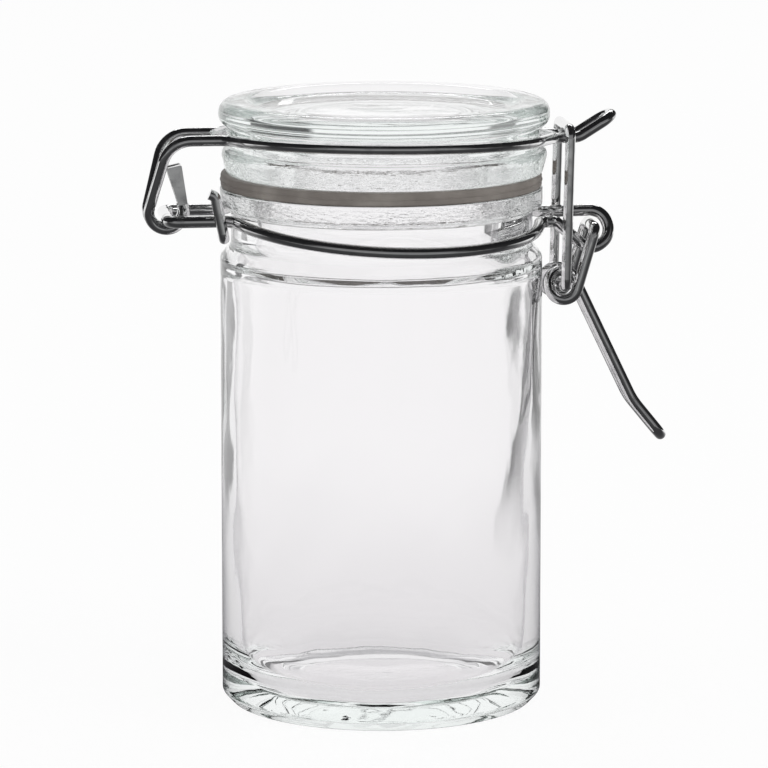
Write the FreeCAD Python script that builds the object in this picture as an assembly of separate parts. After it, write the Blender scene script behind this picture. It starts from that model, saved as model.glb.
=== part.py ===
"""Small glass clip-top jar with a wire bail lid and an over-centre trigger latch.

Millimetres. The origin is on the jar's own axis at the level of its foot, +Z is up, the latch is
at +X, the hinge at -X, and the jar is shown shut and latched.
"""
import FreeCAD, Part
import math
import os

Vector = FreeCAD.Vector

# ---------------------------------------------------------------- driving sizes

# Wires
BAIL_WIRE = 1.8            # the lid's bail, and the tie beside the neck
NECK_WIRE = 2.0            # the ring round the neck, its hinge loop and its eye
LEVER_WIRE = 1.9
LINK_WIRE = 1.7

# Clearances
SNUG = 0.05                # a wire drawn tight on glass or on another wire
REST_GAP = 0.1             # a wire that only rests on another
TURN_GAP = 0.1             # the bail's hooks round the hinge bar
PIN_GAP = 0.3              # the lever's pins under the top of the eye
PIN_SPACE = 0.8            # between the inner ends of the two pins
LAYER_GAP = 0.2            # wires that pass beside each other as the latch moves
WALL_GAP = 0.1             # the lever's curls beside the jar's wall
PLUG_GAP = 0.7             # the lid's plug inside the mouth
BEND_GAP = 0.1             # kept straight between two bends of a narrow U

# Jar
BODY_RADIUS = 27.0
BODY_HEIGHT = 76.0         # foot to the start of the shoulder
HEEL_SIZE = (1.6, 1.7)     # chamfer at the foot, across and up
FOOT_WIDTH = 2.6           # the ring the jar stands on
PUNT_FOOT = (17.8, 0.5)    # where the hollow under the foot turns up: radius and height
PUNT_TOP_RADIUS = 13.0
PUNT_HEIGHT = 2.1
FLOOR_THICKNESS = 2.3
FLOOR_DIP = 1.0            # the inner floor's edge, below its middle
WALL = 2.6
INNER_HEEL_BEND = 7.0
SHOULDER_RISE = 2.0
NECK_DEPTH = 1.6
NECK_HEIGHT = 6.2
FLANGE_HEIGHT = 3.4
FLANGE_WIDTH = 6.4         # from the mouth to the rim
INNER_SHOULDER_DROP = 4.5

# Gasket
GASKET_THICKNESS = 2.35
GASKET_SETBACK = 0.3       # its bore, back from the mouth

# Lid: radii are given from the flange's edge
LID_SHIFT = 0.5            # the latch draws the lid a little towards itself
LOWER_BEAD_OVERHANG = 0.5
LOWER_BEAD_TAPER = 1.0
LOWER_BEAD_HEIGHT = 4.15
GROOVE_DEPTH = 1.5         # in from the lower bead
GROOVE_HEIGHT = 3.8
UPPER_BEAD_OVERHANG = 0.7
UPPER_BEAD_HEIGHT = 4.2
RIM_WIDTH = 4.6
DISH_DEPTH = 1.5
DISH_SLOPE = 1.7
PLUG_DEPTH = 3.9
PLUG_WALL = 3.4
PLUG_TAPER = 1.6
LID_THICKNESS = 4.6

# Hinge: a loop of the neck ring, and the bail's hooks that turn on its cross-bar
HINGE_REACH = 9.15         # cross-bar, out from the jar's wall
HINGE_DROP = 1.25          # cross-bar, below the flange
HINGE_HALF_WIDTH = 7.2
LOOP_BEND = 1.8
HOOK_RADIUS = 2.95
HOOK_HALF_WIDTH = 1.5
TAB_TIP = (1.25, 8.55)     # middle of the flattened end, from the cross-bar
TAB_WIDTH = 2.6
TAB_FOOT_SHARE = 0.85      # width of the blade where it starts, in wire diameters
TAB_THICKNESS = 1.1
TAB_START = 0.6            # wire left round above the hook before it is flattened

# Bail
BAIL_HALF_WIDTH = 5.5
BAIL_CORNER_SHIFT = 0.25   # the bail's upper corner, from the cross-bar towards the jar
BAIL_CORNER_BEND = 4.8
BAIL_LEAVES = (201.0, 336.0)   # where the bail's sides leave the lid, in degrees
HINGE_END_RISE = 2.1       # hinge end of the bail, above the lower bead
TONGUE_RISE = 1.3          # latch end of the bail, above the lower bead
TONGUE_HALF_WIDTH = 2.4
TONGUE_REACH = 6.0         # where the tongue turns up, out from the jar's wall
TONGUE_TIP = (5.8, 3.6)    # from there to the middle of the wire at the tip
RUN_BEND = 3.0

# Neck ring
RING_LEAVES = (204.0, 349.0)   # where its sides leave the neck, in degrees
FRONT_END_DROP = 1.75      # front of the ring at the eye, below the cross-bar
REAR_END_DROP = 0.55
FRONT_SAG = 2.0            # how far the front half sags below its ends
REAR_SAG = -0.3
EYE_RADIUS = 2.95
EYE_HALF_WIDTH = 2.0
EYE_ROOT_REACH = 2.2       # where the eye's two strands turn, out from the jar's wall
EYE_TWIST = 0.7            # share of the width taken up between the eye's first and last bends
EYE_BEND = 1.6

# Latch: lever pivot, curls round the link, and the link's top bar
PIVOT_REACH = 8.6          # out from the jar's wall
PIVOT_DROP = 2.65          # below the hinge's cross-bar
CURL_RADIUS = 2.3
CURL_DROP = 9.7            # below the pivot
CURL_LEAD = 0.1            # share of the step between handle and arm taken by the end bends
HANDLE_HALF_WIDTH = 2.4
HANDLE_BEND = (6.9, -29.7)     # from the pivot
HANDLE_TIP = (12.1, -36.1)     # from the pivot
HANDLE_BEND_RADIUS = 12.0
ARM_BEND = 1.5
LINK_TOP_REACH = 4.0       # out from the jar's wall
LINK_BEND = 1.5

# Tie: a short hooked end of wire in front of the hinge loop, beside the neck
TIE_REACH = 0.2            # out from the jar's wall
TIE_DROP = 2.75            # its lower bend, below the cross-bar
TIE_LEAN = (-1.5, 7.2)     # from the lower bend to the upper one
TIE_HOOK = (-1.0, 0.4)     # from the upper bend to the cut end
TIE_TAIL = 3.6
TIE_BEND = 1.0

# ---------------------------------------------------------------- levels and radii that follow

NECK_Z = BODY_HEIGHT + SHOULDER_RISE
FLANGE_Z = NECK_Z + NECK_HEIGHT
FLANGE_TOP = FLANGE_Z + FLANGE_HEIGHT
GASKET_TOP = FLANGE_TOP + GASKET_THICKNESS
GROOVE_Z = GASKET_TOP + LOWER_BEAD_HEIGHT
UPPER_BEAD_Z = GROOVE_Z + GROOVE_HEIGHT
LID_TOP = UPPER_BEAD_Z + UPPER_BEAD_HEIGHT
FLANGE_RADIUS = BODY_RADIUS
MOUTH_RADIUS = FLANGE_RADIUS - FLANGE_WIDTH
NECK_RADIUS = BODY_RADIUS - NECK_DEPTH
PLUG_RADIUS = MOUTH_RADIUS - PLUG_GAP
LOWER_BEAD_RADIUS = FLANGE_RADIUS + LOWER_BEAD_OVERHANG
UPPER_BEAD_RADIUS = FLANGE_RADIUS + UPPER_BEAD_OVERHANG
GROOVE_RADIUS = LOWER_BEAD_RADIUS - GROOVE_DEPTH
BAIL_RADIUS = GROOVE_RADIUS + BAIL_WIRE / 2 + SNUG
RING_RADIUS = NECK_RADIUS + NECK_WIRE / 2 + SNUG
HINGE_X = -(BODY_RADIUS + HINGE_REACH)
HINGE_Z = FLANGE_Z - HINGE_DROP
BAIL_CORNER_X = HINGE_X + BAIL_CORNER_SHIFT
BAIL_Z = GROOVE_Z + HINGE_END_RISE
TONGUE_X = BODY_RADIUS + TONGUE_REACH
TONGUE_Z = GROOVE_Z + TONGUE_RISE
BAIL_TOP_Z = UPPER_BEAD_Z - BAIL_WIRE / 2 - SNUG    # middle of its sides, under the upper bead
PIVOT_X = BODY_RADIUS + PIVOT_REACH
PIVOT_Z = HINGE_Z - PIVOT_DROP
EYE_Z = PIVOT_Z - (EYE_RADIUS - (NECK_WIRE + LEVER_WIRE) / 2 - PIN_GAP)
CURL_X = BODY_RADIUS + WALL_GAP + LEVER_WIRE / 2 + CURL_RADIUS
CURL_Z = PIVOT_Z - CURL_DROP
LINK_TOP_X = BODY_RADIUS + LINK_TOP_REACH
LINK_TOP_Z = TONGUE_Z + (BAIL_WIRE + LINK_WIRE) / 2 + REST_GAP
ARM_HALF_WIDTH = HANDLE_HALF_WIDTH + LEVER_WIRE + LAYER_GAP
LINK_HALF_WIDTH = ARM_HALF_WIDTH + (LEVER_WIRE + LINK_WIRE) / 2 + LAYER_GAP
TIE_X = -(BODY_RADIUS + TIE_REACH)
TIE_Y = -(HINGE_HALF_WIDTH + (NECK_WIRE + BAIL_WIRE) / 2 + SNUG)
TIE_Z = HINGE_Z - TIE_DROP


# ---------------------------------------------------------------- outlines and wires

def trimmed_corner(before, corner, after, radius):
    """Start, middle and end of the arc that rounds a corner, tangent to both its sides."""
    to_before = (before - corner).normalize()
    to_after = (after - corner).normalize()
    half_turn = (math.pi - to_before.getAngle(to_after)) / 2
    reach = radius * math.tan(half_turn)
    start = corner + to_before * reach
    end = corner + to_after * reach
    inward = (to_before + to_after).normalize()
    middle = corner + inward * (radius / math.cos(half_turn) - radius)
    return start, middle, end


def rounded_edges(corners, closed=False):
    """Lines and tangent arcs through [(point, bend radius), ...]."""
    count = len(corners)
    points = [Vector(*point) for point, _ in corners]
    pieces = []
    for index, (_, radius) in enumerate(corners):
        at_end = not closed and index in (0, count - 1)
        if at_end or radius == 0:
            pieces.append((points[index],))
        else:
            neighbours = points[index - 1], points[(index + 1) % count]
            pieces.append(trimmed_corner(neighbours[0], points[index], neighbours[1], radius))
    edges = []
    for index, piece in enumerate(pieces):
        if len(piece) == 3:
            edges.append(Part.Arc(*piece).toShape())
        if closed or index < count - 1:
            start, end = piece[-1], pieces[(index + 1) % count][0]
            if start.distanceToPoint(end) > 1e-6:
                edges.append(Part.LineSegment(start, end).toShape())
    return edges


def bent_wire(corners, diameter):
    """A round wire whose middle line runs through the corners, bent at each to its radius."""
    path = Part.Wire(rounded_edges(corners))
    start = Vector(*corners[0][0])
    heading = Vector(*corners[1][0]) - start
    section = Part.Face(Part.Wire(Part.Circle(start, heading, diameter / 2).toShape()))
    return path.makePipe(section)


def turned(outline, axis_x=0.0):
    """The closed outline [((radius, z), corner radius), ...] turned about a vertical axis."""
    corners = [((axis_x + radius, 0.0, z), bend) for (radius, z), bend in outline]
    face = Part.Face(Part.Wire(rounded_edges(corners, closed=True)))
    return face.revolve(Vector(axis_x, 0, 0), Vector(0, 0, 1), 360)


def with_mirror(half):
    """A half whose cut face lies on the XZ plane, joined to its mirror image."""
    other = half.mirror(Vector(0, 0, 0), Vector(0, 1, 0))
    return half.fuse(other).removeSplitter()


def on_circle(centre, radius, degrees):
    """A point (x, z) on a circle in the XZ plane."""
    angle = math.radians(degrees)
    return centre[0] + radius * math.cos(angle), centre[1] + radius * math.sin(angle)


def touch_angle(centre, radius, point, side):
    """Where, in degrees, a line from the point touches the circle; side is +1 or -1."""
    across, up = point[0] - centre[0], point[1] - centre[1]
    return math.degrees(math.atan2(up, across) + side * math.acos(radius / math.hypot(across, up)))


def curl(centre, radius, start, end, widths):
    """Corners of a wire curled about a Y axis from angle to angle, one bend for each width."""
    step = (end - start) / len(widths)
    reach = radius / math.cos(math.radians(step / 2))
    corners = []
    for index, width in enumerate(widths):
        x, z = on_circle(centre, reach, start + (index + 0.5) * step)
        corners.append(((x, width, z), radius))
    return corners


def ring_corner(radius, start, end, z, axis_x=0.0):
    """The corner whose bend is the arc of a level ring from one angle to another."""
    middle = math.radians((start + end) / 2)
    reach = radius / math.cos(math.radians((end - start) / 2))
    return (axis_x + reach * math.cos(middle), reach * math.sin(middle), z), radius


def leaving_x(radius, degrees, y, axis_x=0.0):
    """Where the line that leaves a ring at an angle meets the level y."""
    angle = math.radians(degrees)
    run = (y - radius * math.sin(angle)) / math.cos(angle)
    return axis_x + radius * math.cos(angle) - run * math.sin(angle)


# ---------------------------------------------------------------- glass and gasket

def jar_body():
    """The glass jar: foot, straight wall, neck for the ring, and the flange under the gasket."""
    inner = BODY_RADIUS - WALL
    floor_z = PUNT_HEIGHT + FLOOR_THICKNESS
    foot_radius = BODY_RADIUS - HEEL_SIZE[0]
    foot_inner = foot_radius - FOOT_WIDTH
    return turned([
        ((0, PUNT_HEIGHT), 0),
        ((PUNT_TOP_RADIUS, PUNT_HEIGHT), 3.0),
        (PUNT_FOOT, 3.0),
        ((foot_inner, 0), 0.7),
        ((foot_radius, 0), 0.6),
        ((BODY_RADIUS, HEEL_SIZE[1]), 0.9),
        ((BODY_RADIUS, BODY_HEIGHT), 1.6),
        ((NECK_RADIUS, NECK_Z), 1.0),
        ((NECK_RADIUS, FLANGE_Z), 0.7),
        ((FLANGE_RADIUS, FLANGE_Z), 0.9),
        ((FLANGE_RADIUS, FLANGE_TOP), 0.35),
        ((MOUTH_RADIUS, FLANGE_TOP), 0.7),
        ((MOUTH_RADIUS, NECK_Z), 4.0),
        ((inner, NECK_Z - INNER_SHOULDER_DROP), 3.0),
        ((inner, floor_z - FLOOR_DIP), INNER_HEEL_BEND),
        ((0, floor_z), 0),
    ])


def gasket():
    """The flat rubber ring between the jar's flange and the lid."""
    bore = MOUTH_RADIUS + GASKET_SETBACK
    return turned([
        ((bore, FLANGE_TOP), 0.3),
        ((FLANGE_RADIUS, FLANGE_TOP), 0.4),
        ((FLANGE_RADIUS, GASKET_TOP), 0.4),
        ((bore, GASKET_TOP), 0.3),
    ])


def lid():
    """The glass lid: plug, lower bead, groove for the bail, upper bead and dished top."""
    plug_bottom = GASKET_TOP - PLUG_DEPTH
    plug_inner = PLUG_RADIUS - PLUG_WALL
    rim_inner = UPPER_BEAD_RADIUS - RIM_WIDTH
    dish_z = LID_TOP - DISH_DEPTH
    ceiling_z = dish_z - LID_THICKNESS
    return turned([
        ((0, dish_z), 0),
        ((rim_inner - DISH_SLOPE, dish_z), 1.4),
        ((rim_inner, LID_TOP), 1.2),
        ((UPPER_BEAD_RADIUS, LID_TOP), 2.0),
        ((UPPER_BEAD_RADIUS, UPPER_BEAD_Z), 1.7),
        ((GROOVE_RADIUS, UPPER_BEAD_Z), 0.4),
        ((GROOVE_RADIUS, GROOVE_Z), 0.4),
        ((LOWER_BEAD_RADIUS, GROOVE_Z), 1.3),
        ((LOWER_BEAD_RADIUS - LOWER_BEAD_TAPER, GASKET_TOP), 0.6),
        ((PLUG_RADIUS, GASKET_TOP), 0.3),
        ((PLUG_RADIUS, plug_bottom), 1.2),
        ((plug_inner, plug_bottom), 1.2),
        ((plug_inner - PLUG_TAPER, ceiling_z), 2.5),
        ((0, ceiling_z), 0),
    ], LID_SHIFT)


# ---------------------------------------------------------------- wires

def flattened_end(base, tip, width_at_base):
    """The pinched end of a hook: a thin blade that widens towards its cut tip."""
    along = Vector(tip[0] - base[0], 0, tip[1] - base[1]).normalize()
    across = Vector(along.z, 0, -along.x)
    origin = Vector(base[0], -HOOK_HALF_WIDTH - TAB_THICKNESS / 2, base[1])
    end = Vector(tip[0], origin.y, tip[1])
    corners = [
        (origin - across * (width_at_base / 2), 0),
        (end - across * (TAB_WIDTH / 2), 0.3),
        (end + across * (TAB_WIDTH / 2), 0.3),
        (origin + across * (width_at_base / 2), 0),
    ]
    outline = Part.Face(Part.Wire(rounded_edges(corners, closed=True)))
    return outline.extrude(Vector(0, TAB_THICKNESS, 0))


def lid_wire():
    """The bail: hooks on the hinge bar, two sides round the lid, and the turned-up tongue."""
    hook_seat = HOOK_RADIUS - (BAIL_WIRE + NECK_WIRE) / 2 - TURN_GAP
    hook = (HINGE_X, HINGE_Z + hook_seat)
    tip = (HINGE_X + TAB_TIP[0], HINGE_Z + TAB_TIP[1])
    leg_touch = touch_angle(hook, HOOK_RADIUS, (BAIL_CORNER_X, BAIL_Z), 1)
    tab_touch = touch_angle(hook, HOOK_RADIUS, tip, -1) + 360
    tab_foot = on_circle(hook, HOOK_RADIUS, tab_touch)
    share = TAB_START / math.hypot(tip[0] - tab_foot[0], tip[1] - tab_foot[1])
    tab_base = tuple(foot + (end - foot) * share for foot, end in zip(tab_foot, tip))
    side_z = (BAIL_Z + TONGUE_Z) / 2
    (side_x, side_y, _), _ = ring_corner(BAIL_RADIUS, *BAIL_LEAVES, side_z, LID_SHIFT)
    arch_share = (BAIL_RADIUS - BAIL_HALF_WIDTH) / (-side_y - BAIL_HALF_WIDTH)
    hinge_x = leaving_x(BAIL_RADIUS, BAIL_LEAVES[0], -BAIL_HALF_WIDTH, LID_SHIFT)
    latch_x = leaving_x(BAIL_RADIUS, BAIL_LEAVES[1], -TONGUE_HALF_WIDTH, LID_SHIFT)
    tongue_end = (TONGUE_X + TONGUE_TIP[0], TONGUE_Z + TONGUE_TIP[1])
    corners = [((tab_base[0], -HOOK_HALF_WIDTH, tab_base[1]), 0)]
    corners += reversed(curl(hook, HOOK_RADIUS, leg_touch, tab_touch, [-HOOK_HALF_WIDTH] * 3))
    corners += [
        ((BAIL_CORNER_X, -BAIL_HALF_WIDTH, BAIL_Z), BAIL_CORNER_BEND),
        ((hinge_x, -BAIL_HALF_WIDTH, BAIL_Z), RUN_BEND),
        ((side_x, side_y, side_z + (BAIL_TOP_Z - side_z) / arch_share), BAIL_RADIUS),
        ((latch_x, -TONGUE_HALF_WIDTH, TONGUE_Z), RUN_BEND),
        ((TONGUE_X, -TONGUE_HALF_WIDTH, TONGUE_Z), RUN_BEND),
        ((tongue_end[0], -TONGUE_HALF_WIDTH, tongue_end[1]), TONGUE_HALF_WIDTH - BEND_GAP),
        ((tongue_end[0], 0, tongue_end[1]), 0),
    ]
    half = bent_wire(corners, BAIL_WIRE)
    half = half.fuse(flattened_end(tab_base, tip, BAIL_WIRE * TAB_FOOT_SHARE))
    return with_mirror(half)


def ring_half(side, end_z, sag):
    """Corners of one half of the neck wire, from the hinge bar to the root of the eye."""
    hinge_x = leaving_x(RING_RADIUS, RING_LEAVES[0], -HINGE_HALF_WIDTH)
    latch_x = leaving_x(RING_RADIUS, RING_LEAVES[1], -EYE_HALF_WIDTH)
    level = (HINGE_Z + end_z) / 2
    (ring_x, ring_y, _), _ = ring_corner(RING_RADIUS, *RING_LEAVES, level)
    sag_share = (RING_RADIUS - HINGE_HALF_WIDTH) / (-ring_y - HINGE_HALF_WIDTH)
    return [
        ((HINGE_X, 0, HINGE_Z), 0),
        ((HINGE_X, side * HINGE_HALF_WIDTH, HINGE_Z), LOOP_BEND),
        ((hinge_x, side * HINGE_HALF_WIDTH, HINGE_Z), RUN_BEND),
        ((ring_x, -side * ring_y, level - sag / sag_share), RING_RADIUS),
        ((latch_x, side * EYE_HALF_WIDTH, end_z), EYE_BEND),
        ((BODY_RADIUS + EYE_ROOT_REACH, side * EYE_HALF_WIDTH, end_z), EYE_BEND),
    ]


def neck_wire():
    """The ring round the neck, bent out into the hinge loop and into the eye for the lever."""
    front = ring_half(-1, HINGE_Z - FRONT_END_DROP, FRONT_SAG)
    rear = ring_half(1, HINGE_Z - REAR_END_DROP, REAR_SAG)
    centre = (PIVOT_X, EYE_Z)
    front_touch = touch_angle(centre, EYE_RADIUS, (front[-1][0][0], front[-1][0][2]), 1)
    rear_touch = touch_angle(centre, EYE_RADIUS, (rear[-1][0][0], rear[-1][0][2]), -1) + 360
    twist = EYE_HALF_WIDTH * EYE_TWIST
    eye = curl(centre, EYE_RADIUS, front_touch, rear_touch, [-twist, 0, twist])
    split = tuple((a + b) / 2 for a, b in zip(eye[0][0], eye[1][0]))
    front_part = bent_wire(front + eye[:1] + [(split, 0)], NECK_WIRE)
    rear_part = bent_wire([(split, 0)] + eye[1:] + rear[::-1], NECK_WIRE)
    return front_part.fuse(rear_part).removeSplitter()


def neck_tie():
    """The short hooked wire that stands in front of the hinge loop, beside the neck."""
    top_x, top_z = TIE_X + TIE_LEAN[0], TIE_Z + TIE_LEAN[1]
    return bent_wire([
        ((TIE_X, TIE_Y + TIE_TAIL, TIE_Z), 0),
        ((TIE_X, TIE_Y, TIE_Z), TIE_BEND),
        ((top_x, TIE_Y, top_z), TIE_BEND),
        ((top_x + TIE_HOOK[0], TIE_Y, top_z + TIE_HOOK[1]), 0),
    ], BAIL_WIRE)


def lever_wire():
    """The trigger: pins in the eye, arms, curls round the link, and the long handle."""
    bend = (PIVOT_X + HANDLE_BEND[0], PIVOT_Z + HANDLE_BEND[1])
    tip = (PIVOT_X + HANDLE_TIP[0], PIVOT_Z + HANDLE_TIP[1])
    centre = (CURL_X, CURL_Z)
    arm_touch = touch_angle(centre, CURL_RADIUS, (PIVOT_X, PIVOT_Z), -1) + 360
    handle_touch = touch_angle(centre, CURL_RADIUS, bend, 1)
    lead = (ARM_HALF_WIDTH - HANDLE_HALF_WIDTH) * CURL_LEAD
    widths = [-HANDLE_HALF_WIDTH, -HANDLE_HALF_WIDTH - lead, -ARM_HALF_WIDTH + lead, -ARM_HALF_WIDTH]
    corners = [
        ((PIVOT_X, -PIN_SPACE / 2, PIVOT_Z), 0),
        ((PIVOT_X, -ARM_HALF_WIDTH, PIVOT_Z), ARM_BEND),
    ]
    corners += reversed(curl(centre, CURL_RADIUS, handle_touch, arm_touch, widths))
    corners += [
        ((bend[0], -HANDLE_HALF_WIDTH, bend[1]), HANDLE_BEND_RADIUS),
        ((tip[0], -HANDLE_HALF_WIDTH, tip[1]), HANDLE_HALF_WIDTH - BEND_GAP),
        ((tip[0], 0, tip[1]), 0),
    ]
    return with_mirror(bent_wire(corners, LEVER_WIRE))


def link_wire():
    """The closed loop that hangs in the lever's curls and hooks over the bail's tongue."""
    return with_mirror(bent_wire([
        ((CURL_X, 0, CURL_Z), 0),
        ((CURL_X, -LINK_HALF_WIDTH, CURL_Z), LINK_BEND),
        ((LINK_TOP_X, -LINK_HALF_WIDTH, LINK_TOP_Z), LINK_BEND),
        ((LINK_TOP_X, 0, LINK_TOP_Z), 0),
    ], LINK_WIRE))


# ---------------------------------------------------------------- output

NODES = {
    "jar_body": jar_body,
    "neck_wire": neck_wire,
    "neck_tie": neck_tie,
    "lid": lid,
    "gasket": gasket,
    "lid_wire": lid_wire,
    "lever_wire": lever_wire,
    "link_wire": link_wire,
}


def main():
    """Build every node and write it to parts/."""
    os.makedirs("parts", exist_ok=True)
    for name, build in NODES.items():
        solid = build()
        solid.exportStep(f"parts/{name}.step")
        box = solid.BoundBox
        print(f"{name}: {solid.Volume:.1f} mm3, {len(solid.Solids)} solid, valid {solid.isValid()}, "
              f"x {box.XMin:.2f}..{box.XMax:.2f} y {box.YMin:.2f}..{box.YMax:.2f} "
              f"z {box.ZMin:.2f}..{box.ZMax:.2f}")


main()
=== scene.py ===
"""Clip-top glass jar, shut and latched: pressed glass, rubber seal and bright wire.

Sizes of the jar's pieces are millimetres; the studio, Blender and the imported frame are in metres.
The jar stands on its own axis, the latch at +X and the hinge at -X.
"""
import logging
import math
from abc import ABC, abstractmethod
from dataclasses import dataclass, field
from enum import Enum
from typing import Any, Callable, Sequence

import bmesh
import bpy
from mathutils import Matrix, Vector, noise


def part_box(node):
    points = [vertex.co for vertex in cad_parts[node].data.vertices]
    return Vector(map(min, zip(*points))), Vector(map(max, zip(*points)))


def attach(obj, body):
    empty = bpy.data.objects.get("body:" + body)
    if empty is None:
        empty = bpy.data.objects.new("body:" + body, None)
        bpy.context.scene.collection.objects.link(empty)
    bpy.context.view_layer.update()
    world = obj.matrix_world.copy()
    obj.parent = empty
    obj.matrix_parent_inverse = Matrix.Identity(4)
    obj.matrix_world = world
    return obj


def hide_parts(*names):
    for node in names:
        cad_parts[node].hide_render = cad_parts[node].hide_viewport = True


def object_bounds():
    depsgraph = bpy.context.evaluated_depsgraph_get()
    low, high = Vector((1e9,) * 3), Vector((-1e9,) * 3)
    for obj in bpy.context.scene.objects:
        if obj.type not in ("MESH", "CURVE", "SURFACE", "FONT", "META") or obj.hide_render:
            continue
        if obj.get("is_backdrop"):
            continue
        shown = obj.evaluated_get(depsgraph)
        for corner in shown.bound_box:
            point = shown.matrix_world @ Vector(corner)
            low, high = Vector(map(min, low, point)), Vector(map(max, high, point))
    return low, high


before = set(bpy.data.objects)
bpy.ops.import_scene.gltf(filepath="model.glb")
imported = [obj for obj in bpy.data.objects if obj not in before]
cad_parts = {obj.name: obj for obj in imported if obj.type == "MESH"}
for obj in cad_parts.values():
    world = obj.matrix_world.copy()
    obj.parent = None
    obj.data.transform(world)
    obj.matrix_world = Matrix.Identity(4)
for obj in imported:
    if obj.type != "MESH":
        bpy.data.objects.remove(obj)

MM = 0.001
GRAIN_MIDDLE = 0.5
Colour = tuple[float, float, float]
Span = tuple[float, float]
Settings = dict[str, Any] | None
Inputs = dict[str | int, Any] | None

log = logging.getLogger("clip_top_jar")


def opaque(colour: Colour) -> tuple[float, float, float, float]:
    """The colour with an alpha of 1, as a colour socket takes it."""
    return (*colour, 1.0)


# ---------------------------------------------------------------- node building


class Ray(Enum):
    """What kind of ray reaches a surface or the room."""

    CAMERA = "Is Camera Ray"
    GLOSSY = "Is Glossy Ray"
    THROUGH = "Is Transmission Ray"
    LAMP = "Is Shadow Ray"


class Value:
    """A number socket that can be used in sums; each sum adds Math nodes to its material."""

    def __init__(self, bench: "Bench", socket: bpy.types.NodeSocket) -> None:
        """Keeps the socket and the bench that makes further nodes."""
        self.bench = bench
        self.socket = socket

    def _with(self, operation: str, first: Any, second: Any) -> "Value":
        """Adds one Math node.

        Args:
            operation: the Math node's operation.
            first: the first operand, a Value or a number.
            second: the second operand, a Value or a number.

        Returns:
            The node's result.
        """
        return self.bench.value("ShaderNodeMath", {"operation": operation}, {0: first, 1: second})

    def __add__(self, other: Any) -> "Value":
        """This plus other."""
        return self._with("ADD", self, other)

    def __sub__(self, other: Any) -> "Value":
        """This less other."""
        return self._with("SUBTRACT", self, other)

    def __mul__(self, other: Any) -> "Value":
        """This times other."""
        return self._with("MULTIPLY", self, other)

    def __radd__(self, other: Any) -> "Value":
        """Other plus this."""
        return self._with("ADD", other, self)

    def __rsub__(self, other: Any) -> "Value":
        """Other less this."""
        return self._with("SUBTRACT", other, self)

    def __rmul__(self, other: Any) -> "Value":
        """Other times this."""
        return self._with("MULTIPLY", other, self)

    def __truediv__(self, other: Any) -> "Value":
        """This divided by other."""
        return self._with("DIVIDE", self, other)

    def size(self) -> "Value":
        """This without its sign."""
        return self._with("ABSOLUTE", self, 0.0)

    def at_least(self, other: Any) -> "Value":
        """The larger of this and other."""
        return self._with("MAXIMUM", self, other)

    def smooth_step(self, low: float, high: float) -> "Value":
        """Runs smoothly from 0 at low to 1 at high."""
        return self.bench.value(
            "ShaderNodeMapRange",
            {"interpolation_type": "SMOOTHSTEP"},
            {"Value": self, "From Min": low, "From Max": high},
        )


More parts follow.
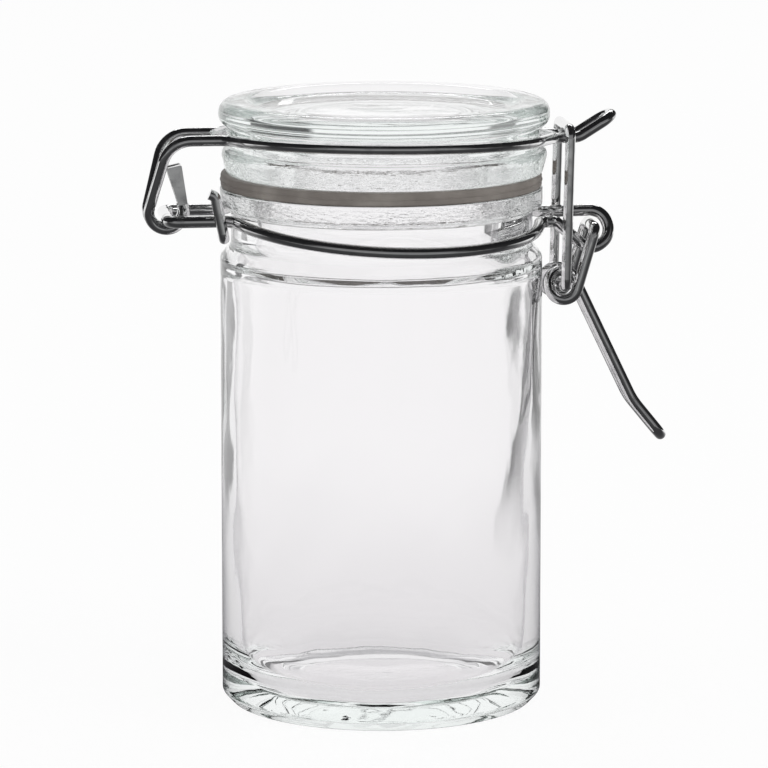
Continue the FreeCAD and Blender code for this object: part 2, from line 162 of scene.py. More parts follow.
class Bench:
    """Adds nodes to one node tree."""

    def __init__(self, tree: bpy.types.NodeTree) -> None:
        """Starts on an empty tree."""
        self.tree = tree
        tree.nodes.clear()

    @staticmethod
    def _socket(sockets: Any, key: str | int) -> bpy.types.NodeSocket:
        """The socket with that place, identifier or name."""
        if isinstance(key, int):
            return sockets[key]
        return next((s for s in sockets if s.identifier == key), None) or sockets[key]

    def node(self, kind: str, settings: Settings = None, inputs: Inputs = None) -> bpy.types.Node:
        """Adds a node.

        Args:
            kind: the node's type.
            settings: what is set on the node itself.
            inputs: what each socket gets, a link or a plain value, by name, identifier or place.

        Returns:
            The new node.
        """
        made = self.tree.nodes.new(kind)
        for name, setting in (settings or {}).items():
            setattr(made, name, setting)
        for key, given in (inputs or {}).items():
            target = self._socket(made.inputs, key)
            if isinstance(given, Value):
                given = given.socket
            if isinstance(given, bpy.types.NodeSocket):
                self.tree.links.new(given, target)
            else:
                target.default_value = given
        return made

    def output(
        self, kind: str, settings: Settings = None, inputs: Inputs = None, which: str | int = 0
    ) -> bpy.types.NodeSocket:
        """Adds a node, as node() does, and gives one of its outputs."""
        return self._socket(self.node(kind, settings, inputs).outputs, which)

    def value(
        self, kind: str, settings: Settings = None, inputs: Inputs = None, which: str | int = 0
    ) -> Value:
        """Adds a node, as node() does, and gives one of its outputs as a Value."""
        return Value(self, self.output(kind, settings, inputs, which))

    def mixed(self, amount: Any, first: Any, second: Any) -> bpy.types.NodeSocket:
        """Mixes two colours.

        Args:
            amount: how much of the second colour, from 0 to 1.
            first: the colour where amount is 0.
            second: the colour where amount is 1.

        Returns:
            The mixed colour.
        """
        return self.output(
            "ShaderNodeMix",
            {"data_type": "RGBA"},
            {"Factor_Float": amount, "A_Color": first, "B_Color": second},
            "Result_Color",
        )

    def ray(self, kind: Ray) -> Value:
        """1 for rays of that kind, 0 for others."""
        return self.value("ShaderNodeLightPath", which=kind.value)

    def part(self, vector: bpy.types.NodeSocket, axis: str) -> Value:
        """One part of a vector, by the name of its axis."""
        return self.value("ShaderNodeSeparateXYZ", inputs={"Vector": vector}, which=axis)

    def grain(
        self, across: float, along: float, detail: float = 2.0, turn: float = 0.0
    ) -> Value:
        """A noise pattern fixed to the piece.

        Args:
            across: size of its patches across the piece, in millimetres.
            along: size of its patches up the piece, in millimetres.
            detail: how many finer layers are added.
            turn: turn of the pattern about the upright axis, in radians.

        Returns:
            The pattern, which runs about GRAIN_MIDDLE.
        """
        here = self.output("ShaderNodeTexCoord", which="Object")
        placed = self.output(
            "ShaderNodeMapping",
            inputs={
                "Vector": here,
                "Rotation": (0.0, 0.0, turn),
                "Scale": (1 / (across * MM), 1 / (across * MM), 1 / (along * MM)),
            },
        )
        return self.value(
            "ShaderNodeTexNoise", inputs={"Vector": placed, "Scale": 1.0, "Detail": detail}
        )

    def relief(self, height: Value, depth: float) -> bpy.types.NodeSocket:
        """A normal bent by a height pattern whose full range is depth millimetres."""
        return self.output("ShaderNodeBump", inputs={"Height": height, "Distance": depth * MM})

    def to_surface(self, shader: Any, volume: Any = None) -> None:
        """Ends the tree in a material output with that shader, and a volume if there is one."""
        ends = {"Surface": shader} if volume is None else {"Surface": shader, "Volume": volume}
        self.node("ShaderNodeOutputMaterial", inputs=ends)


# ---------------------------------------------------------------- finishes


class Finish(ABC):
    """One material of the jar or the studio."""

    name: str

    def material(self) -> bpy.types.Material:
        """Makes the material."""
        made = bpy.data.materials.new(self.name)
        made.use_nodes = True
        self.build(Bench(made.node_tree))
        return made

    @abstractmethod
    def build(self, bench: Bench) -> None:
        """Adds the material's nodes."""


@dataclass(frozen=True)
class PressedGlass(Finish):
    """Clear soda glass from an iron mould: faint chill ripples, green where it is thick.

    Upright faces get painted shade towards their rims, which stands in for dark surroundings. Fine
    streaks lie in a band between two heights. Lamps shine through it, so that it leaves a light
    shadow.
    Sizes are millimetres.
    """

    name: str = "pressed_glass"
    index: float = 1.52
    body_tint: Colour = (0.991, 0.982, 0.989)
    bulk_tint: Colour = (0.62, 0.93, 0.80)
    bulk_depth: float = 2.6
    # Painted shade on upright faces towards their rims, standing in for dark surroundings.
    painted_rim_shade: Colour = (0.30, 0.29, 0.32)
    rim_start: float = 0.62
    rim_end: float = 0.92
    rim_wander: float = 0.12
    facing_blend: float = 0.5
    upright_slope: Span = (0.25, 0.6)
    band_low: float = 83.5
    band_high: float = 88.0
    band_fade: float = 1.0
    streak_across: float = 1.6
    streak_along: float = 0.45
    streak_depth: float = 0.12
    shade: Colour = (0.95, 0.955, 0.955)
    ripple_across: float = 5.0
    ripple_along: float = 9.0
    ripple_depth: float = 0.03
    chill_size: float = 1.1
    chill_depth: float = 0.0022
    smear_size: float = 14.0
    smear_turn: float = 0.7
    smear_span: Span = (0.45, 0.8)
    gloss: float = 0.012

    def build(self, bench: Bench) -> None:
        """Glass with ripples, a tint that gathers in its depth, painted shade at its edges, and
        light shadows.
        """
        ripple = bench.grain(self.ripple_across, self.ripple_along, 1.0)
        chill = bench.grain(self.chill_size, self.chill_size, 3.0)
        smear = bench.grain(self.smear_size, self.smear_size, 4.0, self.smear_turn)
        facing = bench.value(
            "ShaderNodeLayerWeight", inputs={"Blend": self.facing_blend}, which="Facing"
        )
        tilt = bench.part(bench.output("ShaderNodeNewGeometry", which="Normal"), "Z").size()
        upright = 1.0 - tilt.smooth_step(*self.upright_slope)
        turned = facing + (ripple - GRAIN_MIDDLE) * self.rim_wander
        edge = turned.smooth_step(self.rim_start, self.rim_end) * upright
        level = bench.part(bench.output("ShaderNodeTexCoord", which="Object"), "Z") / MM
        band = level.smooth_step(self.band_low, self.band_low + self.band_fade) * (
            1.0 - level.smooth_step(self.band_high - self.band_fade, self.band_high)
        )
        streak = bench.grain(self.streak_across, self.streak_along, 2.0) * band
        height = ripple + chill * (self.chill_depth / self.ripple_depth)
        height = height + streak * (self.streak_depth / self.ripple_depth)
        glass = bench.output(
            "ShaderNodeBsdfPrincipled",
            inputs={
                # The base colour mixes clear glass with painted shade towards the upright rims.
                "Base Color": bench.mixed(edge, opaque(self.body_tint), opaque(self.painted_rim_shade)),
                "Roughness": smear.smooth_step(*self.smear_span) * self.gloss,
                "IOR": self.index,
                "Transmission Weight": 1.0,
                "Normal": bench.relief(height, self.ripple_depth),
            },
        )
        lit_through = bench.output(
            "ShaderNodeBsdfTransparent", inputs={"Color": opaque(self.shade)}
        )
        depth = bench.output(
            "ShaderNodeVolumeAbsorption",
            inputs={"Color": opaque(self.bulk_tint), "Density": self.bulk_depth},
        )
        skin = bench.output(
            "ShaderNodeMixShader", inputs={0: bench.ray(Ray.LAMP), 1: glass, 2: lit_through}
        )
        bench.to_surface(skin, depth)


@dataclass(frozen=True)
class BrightWire(Finish):
    """Nickel-bright drawn steel wire: die lines, small dull patches and a little dirt."""

    name: str = "bright_wire"
    bright: Colour = (0.80, 0.80, 0.80)
    dull: Colour = (0.50, 0.50, 0.51)
    dirt: Colour = (0.16, 0.15, 0.14)
    patch_size: float = 2.4
    patch_span: Span = (0.48, 0.72)
    dull_share: float = 0.6
    speck_size: float = 0.35
    speck_span: Span = (0.70, 0.78)
    dirt_share: float = 0.8
    dirt_roughness: float = 0.2
    line_size: float = 0.12
    line_stretch: float = 20.0
    wave_size: float = 4.0
    wave_depth: float = 0.05
    line_depth: float = 0.0012
    smoothest: float = 0.07
    roughest: float = 0.26

    def build(self, bench: Bench) -> None:
        """Metal whose colour and roughness change in small patches."""
        patch = bench.grain(self.patch_size, self.patch_size, 3.0).smooth_step(*self.patch_span)
        speck = bench.grain(self.speck_size, self.speck_size, 2.0).smooth_step(*self.speck_span)
        line = bench.grain(self.line_size, self.line_size * self.line_stretch, 1.0)
        wave = bench.grain(self.wave_size, self.wave_size, 1.0)
        plated = bench.mixed(patch * self.dull_share, opaque(self.bright), opaque(self.dull))
        height = wave + line * (self.line_depth / self.wave_depth)
        metal = bench.output(
            "ShaderNodeBsdfPrincipled",
            inputs={
                "Base Color": bench.mixed(speck * self.dirt_share, plated, opaque(self.dirt)),
                "Metallic": 1.0,
                "Roughness": self.smoothest
                + patch * (self.roughest - self.smoothest)
                + speck * self.dirt_roughness,
                "Normal": bench.relief(height, self.wave_depth),
            },
        )
        bench.to_surface(metal)


@dataclass(frozen=True)
class SealRubber(Finish):
    """Moulded warm grey rubber, matt, with a mottled skin and pale bloom."""

    name: str = "seal_rubber_skin"
    base: Colour = (0.170, 0.152, 0.138)
    bloom: Colour = (0.235, 0.215, 0.195)
    skin_size: float = 0.35
    skin_depth: float = 0.02
    bloom_size: float = 5.0
    bloom_span: Span = (0.4, 0.75)
    roughness: float = 0.5
    skin_roughness: float = 0.3
    shine: float = 0.4

    def build(self, bench: Bench) -> None:
        """A matt skin with a soft change of colour."""
        skin = bench.grain(self.skin_size, self.skin_size, 4.0)
        bloom = bench.grain(self.bloom_size, self.bloom_size, 3.0).smooth_step(*self.bloom_span)
        rubber = bench.output(
            "ShaderNodeBsdfPrincipled",
            inputs={
                "Base Color": bench.mixed(bloom, opaque(self.base), opaque(self.bloom)),
                "Roughness": self.roughness + skin * self.skin_roughness,
                "Specular IOR Level": self.shine,
                "Normal": bench.relief(skin, self.skin_depth),
            },
        )
        bench.to_surface(rubber)


@dataclass(frozen=True)
class StudioPaper(Finish):
    """White sweep paper that shows as plain white and keeps a faint shadow.

    Mirrored rays meet painted shade on the paper in front of the jar, darkest near it. Rays that
    come through the glass meet a painted shadow on the paper near the jar and two painted dark
    flags behind it, which stand in for dark surroundings. Each flag lies between two directions
    from the jar, as metres sideways for each metre back. Distances are metres.
    """

    name: str = "studio_paper"
    paper: Colour = (0.93, 0.93, 0.93)
    white: Colour = (1.0, 1.0, 1.0)
    camera_share: float = 0.88
    through_share: float = 0.9
    mirror_share: float = 1.0
    # Painted shadow on the paper near the jar, seen only through the glass.
    under: Colour = (0.77, 0.76, 0.77)
    painted_shadow_reach: Span = (-0.02, 0.24)
    # Painted shade on the paper in front of the jar, seen only in mirrored rays and darkest near
    # the jar.
    front_shade_near: Colour = (0.045, 0.045, 0.047)
    front_shade_far: Colour = (0.34, 0.345, 0.345)
    front_shade_depth: Span = (0.03, 0.9)
    front_shade_reach: Span = (-0.02, 0.35)
    # Two painted dark flags on the paper behind the jar, seen only through the glass: painted shade
    # for dark surroundings.
    painted_flag: Colour = (0.01, 0.01, 0.012)
    right_painted_flag: Span = (0.43, 1.25)
    left_painted_flag: Span = (0.36, 0.72)
    left_painted_flag_strength: float = 0.75
    painted_flag_near: float = 0.10
    painted_flag_full: float = 0.20
    painted_flag_soft: float = 0.06

    def build(self, bench: Bench) -> None:
        """Mostly white light, and a share of real paper that takes the shadow."""
        paper = bench.output("ShaderNodeBsdfDiffuse", inputs={"Color": opaque(self.paper)})
        camera, through = bench.ray(Ray.CAMERA), bench.ray(Ray.THROUGH)
        mirrored = bench.ray(Ray.GLOSSY) * (1.0 - through)
        here = bench.output("ShaderNodeTexCoord", which="Object")
        away = bench.part(here, "Y")
        # Mirrored rays in front of the jar meet painted shade, darker nearer the jar.
        near = mirrored * (1.0 - away.smooth_step(*self.front_shade_reach))
        # Rays through the glass meet two painted dark flags behind the jar.
        lean = bench.part(here, "X") / away.at_least(self.painted_flag_near)
        right = self._between(lean, *self.right_painted_flag)
        left = self._between(0.0 - lean, *self.left_painted_flag) * self.left_painted_flag_strength
        before = (0.0 - away).smooth_step(*self.front_shade_depth)
        front_shade = bench.mixed(before, opaque(self.front_shade_near), opaque(self.front_shade_far))
        # Rays through the glass meet a painted shadow on the paper near the jar.
        shaded = through * (1.0 - away.smooth_step(*self.painted_shadow_reach))
        colour = bench.mixed(shaded, opaque(self.white), opaque(self.under))
        colour = bench.mixed(near, colour, front_shade)
        past = away.smooth_step(self.painted_flag_near, self.painted_flag_full)
        colour = bench.mixed((right + left) * past * through, colour, opaque(self.painted_flag))
        share = camera * self.camera_share + through * self.through_share
        share = share + mirrored * self.mirror_share
        light = bench.output("ShaderNodeEmission", inputs={"Color": colour, "Strength": 1.0})
        bench.to_surface(bench.output("ShaderNodeMixShader", inputs={0: share, 1: paper, 2: light}))

    def _between(self, level: Value, low: float, high: float) -> Value:
        """A band from low to high with soft edges."""
        soft = self.painted_flag_soft
        return level.smooth_step(low, low + soft) * (1.0 - level.smooth_step(high - soft, high))


# ---------------------------------------------------------------- shaping


@dataclass(frozen=True)
class Corner:
    """One corner of a turned outline, in millimetres from the axis and the foot."""

    radius: float
    height: float
    bend: float = 0.0


@dataclass(frozen=True)
class Waves:
    """Uneven glass: how far a surface is from true, and its waves' lengths, in millimetres."""

    depth: float
    across: float
    along: float
    seed: float = 0.0

    def at(self, point: Vector) -> float:
        """How far the surface lies from true at a point, in metres."""
        place = Vector((point.x / self.across, point.y / self.across, point.z / self.along)) / MM
        return noise.noise(place + Vector((self.seed,) * 3)) * self.depth * MM


class Turning:
    """A closed solid turned about an upright axis."""

    join: float = 1e-6

    def __init__(self, corners: Sequence[Corner], axis_x: float = 0.0, steps: int = 256) -> None:
        """Turns an outline that starts and ends on the axis, or closes on itself.

        Args:
            corners: the outline in order.
            axis_x: where the axis stands, in millimetres along X.
            steps: how many steps the full turn has.
        """
        self.axis = Vector((axis_x * MM, 0.0, 0.0))
        self.steps = steps
        self.mesh = bmesh.new()
        self._outline(corners)
        self._spin()

    def _outline(
        self, corners: Sequence[Corner], bend_segments: int = 8, longest: float = 1.6
    ) -> None:
        """Draws the outline, rounds its corners and divides its long runs.

        Args:
            corners: the outline in order.
            bend_segments: how many pieces each rounded corner has.
            longest: the longest piece of a straight run, in millimetres.
        """
        bm = self.mesh
        points = [
            bm.verts.new(self.axis + Vector((c.radius * MM, 0.0, c.height * MM))) for c in corners
        ]
        closed = corners[0].radius > 0
        for start, end in zip(points, points[1:] + points[:1] if closed else points[1:]):
            bm.edges.new((start, end))
        reaches = [
            self._reach(corners[i - 1], corner, corners[(i + 1) % len(corners)])
            for i, corner in enumerate(corners)
        ]
        for point, reach in zip(points, reaches):
            if reach > 0:
                bmesh.ops.bevel(
                    bm, geom=[point], offset=reach * MM, offset_type="OFFSET",
                    segments=bend_segments, profile=0.5, affect="VERTICES", material=-1,
                )
        for edge in list(bm.edges):
            cuts = int(edge.calc_length() / (longest * MM))
            if cuts:
                bmesh.ops.subdivide_edges(bm, edges=[edge], cuts=cuts)

    @staticmethod
    def _reach(before: Corner, corner: Corner, after: Corner) -> float:
        """How far along its sides a corner's rounding starts, in millimetres."""
        if not corner.bend:
            return 0.0
        here = Vector((corner.radius, corner.height))
        back = (Vector((before.radius, before.height)) - here).normalized()
        on = (Vector((after.radius, after.height)) - here).normalized()
        return corner.bend * math.tan((math.pi - back.angle(on)) / 2)

    def _spin(self) -> None:
        """Turns a quarter and mirrors it twice into a closed skin that faces outwards."""
        bm = self.mesh
        bmesh.ops.spin(
            bm, geom=bm.verts[:] + bm.edges[:], cent=self.axis, axis=(0.0, 0.0, 1.0),
            dvec=(0.0, 0.0, 0.0), angle=math.pi / 2, steps=self.steps // 4,
            use_merge=False, use_normal_flip=False, use_duplicate=False,
        )
        for side in ("X", "Y"):
            bmesh.ops.mirror(
                bm, geom=bm.verts[:] + bm.edges[:] + bm.faces[:],
                matrix=Matrix.Translation(-self.axis), merge_dist=self.join, axis=side,
            )
        bmesh.ops.remove_doubles(bm, verts=bm.verts[:], dist=self.join)
        bmesh.ops.recalc_face_normals(bm, faces=bm.faces[:])

    def wave(self, where: Callable[[float, float], float], waves: Sequence[Waves]) -> None:
        """Pushes parts of the skin in or out along its own normals.

        Args:
            where: the share of the waves at a radius and height in millimetres, 0 to leave it true.
            waves: the waves that are added up.
        """
        self.mesh.normal_update()
        moves = []
        for vert in self.mesh.verts:
            out = vert.co - self.axis
            share = where(math.hypot(out.x, out.y) / MM, vert.co.z / MM)
            if share > 0:
                moves.append((vert, vert.normal * share * sum(w.at(vert.co) for w in waves)))
        for vert, move in moves:
            vert.co += move

    def piece(self, name: str, finish: Finish) -> bpy.types.Object:
        """Makes the finished object.

        Args:
            name: the piece's name.
            finish: what it is made of.

        Returns:
            The object, at the origin with its place in its mesh.
        """
        data = bpy.data.meshes.new(name)
        self.mesh.to_mesh(data)
        self.mesh.free()
        data.shade_smooth()
        data.materials.append(finish.material())
        made = bpy.data.objects.new(name, data)
        bpy.context.scene.collection.objects.link(made)
        return made


# ---------------------------------------------------------------- the jar


@dataclass
class JarGlass:
    """The glass jar: foot ring, straight wall, neck for the ring of wire, and sealing flange."""

    node: str = "jar_body"
    wall: float = 2.6
    heel_across: float = 1.6
    heel_up: float = 1.7
    heel_bend: float = 0.9
    foot_width: float = 2.6
    foot_outer_bend: float = 0.6
    foot_inner_bend: float = 0.7
    punt_foot_radius: float = 17.8
    punt_foot_height: float = 0.5
    punt_top_radius: float = 13.0
    punt_height: float = 2.1
    punt_bend: float = 3.0
    floor_thickness: float = 2.3
    floor_dip: float = 1.0
    inner_heel_bend: float = 7.0
    body_height: float = 76.0
    shoulder_rise: float = 2.0
    shoulder_bend: float = 1.6
    inner_shoulder_drop: float = 4.5
    inner_shoulder_bend: float = 3.0
    neck_depth: float = 1.6
    neck_foot_bend: float = 1.0
    neck_top_bend: float = 0.7
    flange_height: float = 3.4
    flange_width: float = 6.4
    flange_under_bend: float = 0.9
    flange_top_bend: float = 0.35
    mouth_top_bend: float = 0.7
    mouth_foot_bend: float = 4.0
    wave_fade: float = 1.5
    floor_skin: float = 0.5
    outer_skin: float = 0.2
    finish: Finish = field(default_factory=PressedGlass)
    inner_waves: tuple[Waves, ...] = (
        Waves(0.30, 14.0, 45.0, 3.1), Waves(0.18, 9.0, 16.0, 8.4), Waves(0.03, 3.0, 6.0, 1.7),
    )
    outer_waves: tuple[Waves, ...] = (Waves(0.03, 12.0, 24.0, 5.2), Waves(0.01, 4.0, 6.0, 2.9))

    def outline(self) -> list[Corner]:
        """The section of the wall, from under the middle round to the inner floor."""
        low, high = (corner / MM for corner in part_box(self.node))
        radius, top = high.x, high.z
        inner = radius - self.wall
        mouth = radius - self.flange_width
        neck = radius - self.neck_depth
        foot = radius - self.heel_across
        floor_z = self.punt_height + self.floor_thickness
        neck_z = self.body_height + self.shoulder_rise
        flange_z = top - self.flange_height
        return [
            Corner(0, self.punt_height),
            Corner(self.punt_top_radius, self.punt_height, self.punt_bend),
            Corner(self.punt_foot_radius, self.punt_foot_height, self.punt_bend),
            Corner(foot - self.foot_width, low.z, self.foot_inner_bend),
            Corner(foot, low.z, self.foot_outer_bend),
            Corner(radius, self.heel_up, self.heel_bend),
            Corner(radius, self.body_height, self.shoulder_bend),
            Corner(neck, neck_z, self.neck_foot_bend),
            Corner(neck, flange_z, self.neck_top_bend),
            Corner(radius, flange_z, self.flange_under_bend),
            Corner(radius, top, self.flange_top_bend),
            Corner(mouth, top, self.mouth_top_bend),
            Corner(mouth, neck_z, self.mouth_foot_bend),
            Corner(inner, neck_z - self.inner_shoulder_drop, self.inner_shoulder_bend),
            Corner(inner, floor_z - self.floor_dip, self.inner_heel_bend),
            Corner(0, floor_z),
        ]

    def build(self) -> bpy.types.Object:
        """Turns the jar, lets its skins wander as pressed glass does, and puts it on its body."""
        turning = Turning(self.outline())
        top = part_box(self.node)[1].z / MM
        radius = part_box(self.node)[1].x / MM
        edge = self.wave_fade

        def inside(out: float, height: float) -> float:
            """Full on the inner wall and floor, and none near the mouth's sealing face."""
            if out > radius - self.wall / 2:
                return 0.0
            if height < self.punt_height + self.floor_skin or height > top - edge:
                return 0.0
            return min(1.0, (top - edge - height) / edge)

        def outside(out: float, height: float) -> float:
            """The straight outer wall, fading at the heel and the shoulder."""
            if out < radius - self.outer_skin or not self.heel_up < height < self.body_height:
                return 0.0
            return min(1.0, (height - self.heel_up) / edge, (self.body_height - height) / edge)

        turning.wave(inside, self.inner_waves)
        turning.wave(outside, self.outer_waves)
        made = turning.piece("jar_glass", self.finish)
        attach(made, "jar")
        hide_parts(self.node)
        return made


@dataclass
class LidGlass:
    """The glass lid: plug, lower bead, groove for the bail, upper bead and dished top."""

    node: str = "lid"
    overhang: float = 0.7
    lower_bead_overhang: float = 0.5
    lower_bead_taper: float = 1.0
    lower_bead_height: float = 4.15
    lower_bead_bend: float = 1.3
    seat_outer_bend: float = 0.6
    seat_inner_bend: float = 0.3
    groove_depth: float = 1.5
    groove_bend: float = 0.4
    upper_bead_height: float = 4.2
    upper_under_bend: float = 1.7
    upper_top_bend: float = 2.0
    rim_width: float = 4.6
    rim_bend: float = 1.2
    dish_depth: float = 1.5
    dish_slope: float = 1.7
    dish_bend: float = 1.4
    plug_depth: float = 3.9
    plug_wall: float = 3.4
    plug_taper: float = 1.6
    plug_gap: float = 7.1
    plug_bend: float = 1.2
    ceiling_bend: float = 2.5
    thickness: float = 4.6
    wave_margin: float = 0.5
    dish_wave_share: float = 0.25
    finish: Finish = field(
        default_factory=lambda: PressedGlass(
            # The lid's painted rim shade is paler than the jar's.
            name="pressed_glass_lid", painted_rim_shade=(0.80, 0.84, 0.81), band_low=89.5, band_high=94.5
        )
    )
    under_waves: tuple[Waves, ...] = (
        Waves(0.09, 9.0, 9.0, 4.4), Waves(0.03, 3.2, 3.2, 9.1),
    )

    def build(self) -> bpy.types.Object:
        """Turns the lid, lets its underside wander, and puts it on its body."""
        low, high = (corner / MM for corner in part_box(self.node))
        axis_x = (low.x + high.x) / 2
        upper = high.x - axis_x
        flange = upper - self.overhang
        seat_z = low.z + self.plug_depth
        groove_z = seat_z + self.lower_bead_height
        upper_z = high.z - self.upper_bead_height
        lower = flange + self.lower_bead_overhang
        groove = lower - self.groove_depth
        plug = flange - self.plug_gap
        plug_inner = plug - self.plug_wall
        rim_inner = upper - self.rim_width
        dish_z = high.z - self.dish_depth
        ceiling_z = dish_z - self.thickness
        turning = Turning(
            [
                Corner(0, dish_z),
                Corner(rim_inner - self.dish_slope, dish_z, self.dish_bend),
                Corner(rim_inner, high.z, self.rim_bend),
                Corner(upper, high.z, self.upper_top_bend),
                Corner(upper, upper_z, self.upper_under_bend),
                Corner(groove, upper_z, self.groove_bend),
                Corner(groove, groove_z, self.groove_bend),
                Corner(lower, groove_z, self.lower_bead_bend),
                Corner(lower - self.lower_bead_taper, seat_z, self.seat_outer_bend),
                Corner(plug, seat_z, self.seat_inner_bend),
                Corner(plug, low.z, self.plug_bend),
                Corner(plug_inner, low.z, self.plug_bend),
                Corner(plug_inner - self.plug_taper, ceiling_z, self.ceiling_bend),
                Corner(0, ceiling_z),
            ],
            axis_x,
        )

        def under(out: float, height: float) -> float:
            """The plug and the ceiling, and the dished top a little."""
            margin = self.wave_margin
            if height > dish_z - margin and out < rim_inner - self.dish_slope:
                return self.dish_wave_share
            return 1.0 if out < plug - margin and height < ceiling_z + margin else 0.0

        turning.wave(under, self.under_waves)
        made = turning.piece("lid_glass", self.finish)
        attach(made, "lid")
        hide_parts(self.node)
        return made


@dataclass
class RubberSeal:
    """The flat rubber ring between the flange and the lid, with its moulding line."""

    node: str = "gasket"
    width: float = 6.1
    edge_bend: float = 0.45
    bore_bend: float = 0.3
    line_height: float = 0.16
    line_width: float = 0.14
    line_bend: float = 0.05
    air: float = 0.015
    finish: Finish = field(default_factory=SealRubber)

    def build(self) -> bpy.types.Object:
        """Turns the ring just clear of both glasses and puts it on its body."""
        low, high = (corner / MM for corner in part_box(self.node))
        outer, bottom, top = high.x, low.z + self.air, high.z - self.air
        middle = (bottom + top) / 2
        bore = outer - self.width
        skin = outer - self.line_width
        turning = Turning(
            [
                Corner(bore, bottom, self.bore_bend),
                Corner(skin, bottom, self.edge_bend),
                Corner(skin, middle - self.line_height, self.line_bend),
                Corner(outer, middle, self.line_bend),
                Corner(skin, middle + self.line_height, self.line_bend),
                Corner(skin, top, self.edge_bend),
                Corner(bore, top, self.bore_bend),
            ]
        )
        made = turning.piece("seal_ring", self.finish)
        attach(made, "lid")
        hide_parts(self.node)
        return made


@dataclass
class WireWork:
    """The bent wires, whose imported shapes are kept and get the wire's finish."""

    nodes: tuple[str, ...] = ("neck_wire", "neck_tie", "lid_wire", "lever_wire", "link_wire")
    finish: Finish = field(default_factory=BrightWire)

    def build(self) -> list[bpy.types.Object]:
        """Dresses each wire and gives the list of them."""
        skin = self.finish.material()
        wires = [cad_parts[name] for name in self.nodes]
        for wire in wires:
            for place in wire.material_slots:
                place.material = skin
        return wires


# ---------------------------------------------------------------- the studio


@dataclass
class Softbox:
    """A soft lamp aimed at the jar, never seen through glass, in metres and watts."""

    name: str
    place: tuple[float, float, float]
    size: Span
    power: float
    aim: tuple[float, float, float] = (0.0, 0.0, 0.05)
    mirrored: bool = False

    def build(self) -> bpy.types.Object:
        """Hangs the lamp."""
        data = bpy.data.lights.new(self.name, "AREA")
        data.shape = "RECTANGLE"
        data.size, data.size_y = self.size
        data.energy = self.power
        lamp = bpy.data.objects.new(self.name, data)
        lamp.location = self.place
        lamp.visible_glossy = self.mirrored
        lamp.visible_transmission = False
        toward = Vector(self.aim) - lamp.location
        lamp.rotation_euler = toward.to_track_quat("-Z", "Y").to_euler()
        bpy.context.scene.collection.objects.link(lamp)
        return lamp


@dataclass
class Room:
    """The light from the room, white to the camera and an even fill for plain surfaces.

    Mirrored rays meet white at the back, grey in front, dark sides and a dark ceiling. Rays that
    come through the glass meet white all round and grey overhead.
    """

    fill: float = 0.62
    ceiling: Colour = (0.012, 0.012, 0.013)
    front: Colour = (0.20, 0.20, 0.205)
    side: Colour = (0.02, 0.02, 0.021)
    overhead: Colour = (0.42, 0.42, 0.43)
    backdrop_edge: Span = (0.84, 0.95)
    front_edge: Span = (0.45, 0.80)
    ceiling_edge: Span = (0.34, 0.52)
    overhead_edge: Span = (0.55, 0.85)
    white: Colour = (1.0, 1.0, 1.0)

    def build(self) -> None:
        """Makes the world."""
        world = bpy.data.worlds.new("studio_room")
        bpy.context.scene.world = world
        world.use_nodes = True
        bench = Bench(world.node_tree)
        toward = bench.output("ShaderNodeTexCoord", which="Generated")
        rise, along = bench.part(toward, "Z"), bench.part(toward, "Y")
        before = (0.0 - along).smooth_step(*self.front_edge)
        around = bench.mixed(before, opaque(self.side), opaque(self.front))
        horizon = bench.mixed(along.smooth_step(*self.backdrop_edge), around, opaque(self.white))
        mirrored = bench.mixed(rise.smooth_step(*self.ceiling_edge), horizon, opaque(self.ceiling))
        above = rise.smooth_step(*self.overhead_edge)
        refracted = bench.mixed(above, opaque(self.white), opaque(self.overhead))
        colour = bench.mixed(bench.ray(Ray.GLOSSY), opaque((self.fill,) * 3), mirrored)
        colour = bench.mixed(bench.ray(Ray.THROUGH), colour, refracted)
        colour = bench.mixed(bench.ray(Ray.CAMERA), colour, opaque(self.white))
        light = bench.output("ShaderNodeBackground", inputs={"Color": colour, "Strength": 1.0})
        bench.node("ShaderNodeOutputWorld", inputs={"Surface": light})


@dataclass
class Floor:
    """The pale sweep that the jar stands on, in metres; its drop under the foot is millimetres."""

    half_width: float = 6.0
    drop: float = 0.05
    finish: Finish = field(default_factory=StudioPaper)

    def build(self) -> bpy.types.Object:
        """Lays the floor just under the foot."""
        bm = bmesh.new()
        bmesh.ops.create_grid(bm, x_segments=1, y_segments=1, size=self.half_width)
        bmesh.ops.translate(bm, verts=bm.verts[:], vec=(0.0, 0.0, -self.drop * MM))
        data = bpy.data.meshes.new("floor")
        bm.to_mesh(data)
        bm.free()
        data.materials.append(self.finish.material())
        made = bpy.data.objects.new("floor", data)
        bpy.context.scene.collection.objects.link(made)
        made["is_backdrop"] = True
        return made


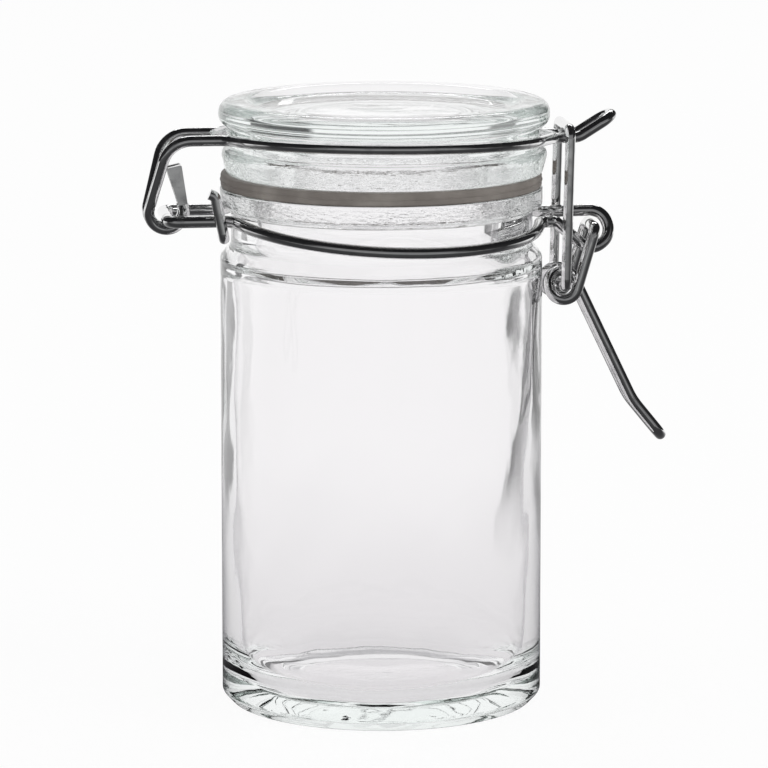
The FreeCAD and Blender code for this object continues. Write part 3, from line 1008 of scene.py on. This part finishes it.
@dataclass
class Camera:
    """A long lens a little above the jar, looking slightly down at it, in metres and degrees."""

    reach: float = 0.820
    height: float = 0.19997
    turn: float = -7.1364
    look_turn: float = -7.1691
    look_down: float = 10.1082
    lens: float = 231.7

    def build(self) -> bpy.types.Object:
        """Sets the scene's camera."""
        data = bpy.data.cameras.new("camera")
        data.lens = self.lens
        made = bpy.data.objects.new("camera", data)
        turn = math.radians(self.turn)
        made.location = (self.reach * math.sin(turn), -self.reach * math.cos(turn), self.height)
        made.rotation_euler = (math.radians(90 - self.look_down), 0.0, math.radians(self.look_turn))
        bpy.context.scene.collection.objects.link(made)
        bpy.context.scene.camera = made
        return made


@dataclass
class Studio:
    """Everything round the jar: floor, room light, soft lamps and camera."""

    light_bounces: int = 24
    mirror_bounces: int = 14
    lamps: tuple[Softbox, ...] = (
        Softbox("right_softbox", (1.15, -0.75, 0.75), (0.7, 1.1), 9.0),
        Softbox("left_softbox", (-1.35, -0.35, 0.55), (0.35, 0.9), 4.5),
        Softbox("back_strip", (0.25, 1.3, 1.25), (1.2, 0.3), 5.0, mirrored=True),
    )

    def build(self) -> None:
        """Sets the studio up."""
        scene = bpy.context.scene
        scene.view_settings.view_transform = "Standard"
        scene.cycles.max_bounces = self.light_bounces
        scene.cycles.transmission_bounces = self.light_bounces
        scene.cycles.glossy_bounces = self.mirror_bounces
        Room().build()
        Floor().build()
        for lamp in self.lamps:
            lamp.build()
        Camera().build()


def corners(box: tuple[Vector, Vector]) -> list[list[float]]:
    """A box's two corners as plain lists."""
    return [[float(number) for number in corner] for corner in box]


def main() -> None:
    """Builds the jar and its studio, and notes the size before and after."""
    logging.basicConfig(level=logging.INFO, format="%(name)s: %(message)s")
    packed = corners(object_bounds())
    for part in (JarGlass(), LidGlass(), RubberSeal()):
        made = part.build()
        log.info("%s: %d faces, stands for %s", made.name, len(made.data.polygons), part.node)
    for wire in WireWork().build():
        log.info("%s: dressed", wire.name)
    Studio().build()
    shown = corners(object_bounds())
    log.info("size: packed %s, shown %s", packed, shown)


if __name__ == "__main__":
    main()
